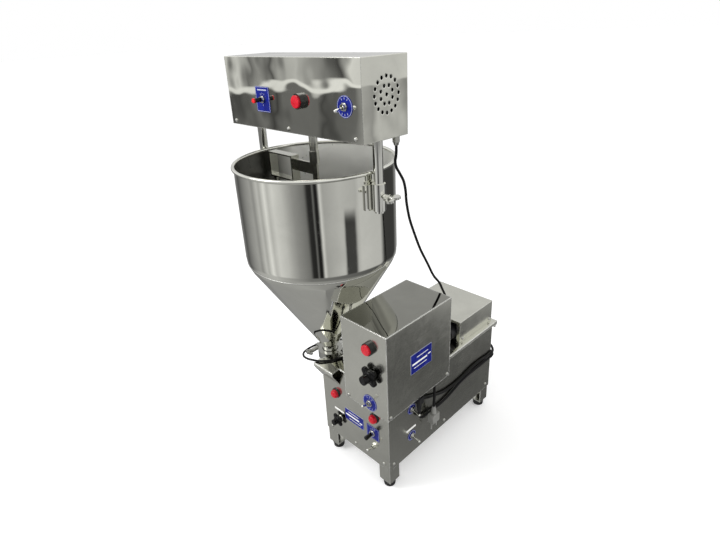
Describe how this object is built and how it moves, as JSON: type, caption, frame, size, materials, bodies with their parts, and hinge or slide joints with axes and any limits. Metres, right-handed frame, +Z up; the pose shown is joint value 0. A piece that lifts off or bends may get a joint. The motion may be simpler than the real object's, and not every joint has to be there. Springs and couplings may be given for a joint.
{
  "type": "cream filling machine",
  "caption": "Floor-standing table-height cream filler: stainless cabinet with a gear pump, conical hopper on a clamped neck and a lifting stirrer head with switches.",
  "frame": {"origin": "on the floor under the middle of the machine's box, cords left out", "axes": "+Z up, -Y towards the control panel, +X towards the side with the mains lead"},
  "size_m": [0.505, 0.5848, 0.987],
  "materials": {
    "satin_steel": "satin brushed stainless sheet",
    "polished_steel": "mirror polished stainless",
    "machined_steel": "machined steel",
    "switch_metal": "nickel plated",
    "lever_chrome": "chrome plated",
    "black_plastic": "moulded black plastic",
    "red_plastic": "translucent red plastic",
    "blue_plate": "blue enamelled plate",
    "foot_rubber": "moulded rubber",
    "cord_sheath": "flexible sheath",
    "fitting_plastic": "moulded nylon",
    "plug_plastic": "moulded grey plastic",
    "motor_casting": "painted casting",
    "controller_aluminium": "black anodised",
    "bush_bronze": "sintered bronze",
    "gasket_silicone": "white silicone",
    "coupling_iron": "painted iron"
  },
  "bodies": {
    "root": {"body_shell": "satin_steel", "table_top": "polished_steel", "base_plate": "satin_steel", "corner_legs": "satin_steel", "rubber_feet": "foot_rubber", "panel_screws": "machined_steel", "rear_cover": "satin_steel", "control_box": "satin_steel", "drive_controller": "controller_aluminium", "gear_motor": "motor_casting", "pump_housing": "machined_steel", "pump_cover": "machined_steel", "pump_bolts": "machined_steel", "shaft_bushes": "bush_bronze", "inlet_elbow": "polished_steel", "neck_ferrules": "polished_steel", "clamp_gasket": "gasket_silicone", "clamp_ring": "polished_steel", "clamp_bolt": "machined_steel", "outlet_pipe": "polished_steel", "outlet_nozzle": "polished_steel", "hopper": "polished_steel", "post_sleeves": "polished_steel", "panel_bushings": "switch_metal", "pilot_lamps": "red_plastic", "panel_plates": "blue_plate", "cord_fittings": "fitting_plastic", "mains_plug": "plug_plastic", "head_cable": "cord_sheath", "mains_lead": "cord_sheath", "signal_cable": "cord_sheath"},
    "head": {"posts": "polished_steel", "head_shell": "polished_steel", "head_base": "polished_steel", "head_screws": "machined_steel", "agitator_motor": "motor_casting", "shaft_bearing": "machined_steel", "head_bushings": "switch_metal", "head_plates": "blue_plate"},
    "agitator": {"agitator_shaft": "polished_steel", "agitator_coupling": "polished_steel", "agitator_frame": "polished_steel"},
    "pump_drive": {"pump_shaft": "machined_steel", "drive_gear": "machined_steel", "shaft_coupling": "coupling_iron"},
    "idler_gear": {"idler_gear": "machined_steel"},
    "head_button": {"head_button": "red_plastic"},
    "box_button": {"box_button": "red_plastic"},
    "box_knob": {"box_knob": "black_plastic"},
    "front_knob": {"front_knob": "black_plastic"},
    "head_lever_left": {"head_lever_left": "black_plastic"},
    "head_lever_right": {"head_lever_right": "lever_chrome"},
    "box_lever": {"box_lever": "lever_chrome"},
    "front_lever_black": {"front_lever_black": "black_plastic"},
    "front_lever_silver": {"front_lever_silver": "lever_chrome"},
    "side_lever_upper": {"side_lever_upper": "lever_chrome"},
    "side_lever_lower": {"side_lever_lower": "lever_chrome"},
    "wing_screw_right": {"wing_screw_right": "polished_steel"},
    "wing_screw_left": {"wing_screw_left": "polished_steel"},
    "clamp_wing_nut": {"clamp_wing_nut": "polished_steel"}
  },
  "joints": [
    {"name": "head_lift", "type": "slide", "parent": "root", "child": "head", "axis": [0, 0, 1], "range_m": [0, 0.02]},
    {"name": "agitator_spin", "type": "hinge", "parent": "head", "child": "agitator", "pos_m": [-0.016, -0.104, 0.78], "axis": [0, 0, 1], "continuous": true},
    {"name": "pump_spin", "type": "hinge", "parent": "root", "child": "pump_drive", "pos_m": [-0.006, -0.026, 0.194], "axis": [1, 0, 0], "continuous": true},
    {"name": "idler_spin", "type": "hinge", "parent": "root", "child": "idler_gear", "pos_m": [-0.006, -0.026, 0.2343], "axis": [1, 0, 0], "continuous": true},
    {"name": "head_button_press", "type": "slide", "parent": "head", "child": "head_button", "axis": [0, 1, 0], "range_m": [0, 0.004], "stiffness_N_per_m": 600, "springref_m": -0.002},
    {"name": "box_button_press", "type": "slide", "parent": "root", "child": "box_button", "axis": [0, 1, 0], "range_m": [0, 0.004], "stiffness_N_per_m": 600, "springref_m": -0.002},
    {"name": "box_knob_turn", "type": "hinge", "parent": "root", "child": "box_knob", "pos_m": [0.197, -0.167, 0.341], "axis": [0, 1, 0], "range_deg": [-135, 135]},
    {"name": "front_knob_turn", "type": "hinge", "parent": "root", "child": "front_knob", "pos_m": [0.058, -0.151, 0.123], "axis": [0, 1, 0], "range_deg": [-135, 135]},
    {"name": "head_lever_left_flip", "type": "hinge", "parent": "head", "child": "head_lever_left", "pos_m": [-0.098, -0.167, 0.902], "axis": [1, 0, 0], "range_deg": [-15, 15]},
    {"name": "head_lever_right_flip", "type": "hinge", "parent": "head", "child": "head_lever_right", "pos_m": [0.155, -0.167, 0.904], "axis": [1, 0, 0], "range_deg": [-26, 0]},
    {"name": "box_lever_flip", "type": "hinge", "parent": "root", "child": "box_lever", "pos_m": [0.186, -0.17, 0.257], "axis": [1, 0, 0], "range_deg": [0, 26]},
    {"name": "front_lever_black_flip", "type": "hinge", "parent": "root", "child": "front_lever_black", "pos_m": [0.175, -0.154, 0.151], "axis": [1, 0, 0], "range_deg": [-15, 15]},
    {"name": "front_lever_silver_flip", "type": "hinge", "parent": "root", "child": "front_lever_silver", "pos_m": [0.178, -0.154, 0.111], "axis": [1, 0, 0], "range_deg": [0, 26]},
    {"name": "side_lever_upper_flip", "type": "hinge", "parent": "root", "child": "side_lever_upper", "pos_m": [0.229, -0.07, 0.2], "axis": [0, 1, 0], "range_deg": [-26, 0]},
    {"name": "side_lever_lower_flip", "type": "hinge", "parent": "root", "child": "side_lever_lower", "pos_m": [0.229, -0.07, 0.119], "axis": [0, 1, 0], "range_deg": [-26, 0]},
    {"name": "wing_screw_right_turn", "type": "hinge", "parent": "root", "child": "wing_screw_right", "pos_m": [0.175, -0.104, 0.727], "axis": [1, 0, 0], "range_deg": [0, 360]},
    {"name": "wing_screw_left_turn", "type": "hinge", "parent": "root", "child": "wing_screw_left", "pos_m": [-0.207, -0.104, 0.727], "axis": [1, 0, 0], "range_deg": [0, 360]},
    {"name": "clamp_wing_nut_turn", "type": "hinge", "parent": "root", "child": "clamp_wing_nut", "pos_m": [-0.053, -0.104, 0.269], "axis": [0, 1, 0], "range_deg": [0, 360]}
  ],
  "couplings": [
    {"joint": "idler_spin", "follows": "pump_spin", "ratio": -1}
  ]
}
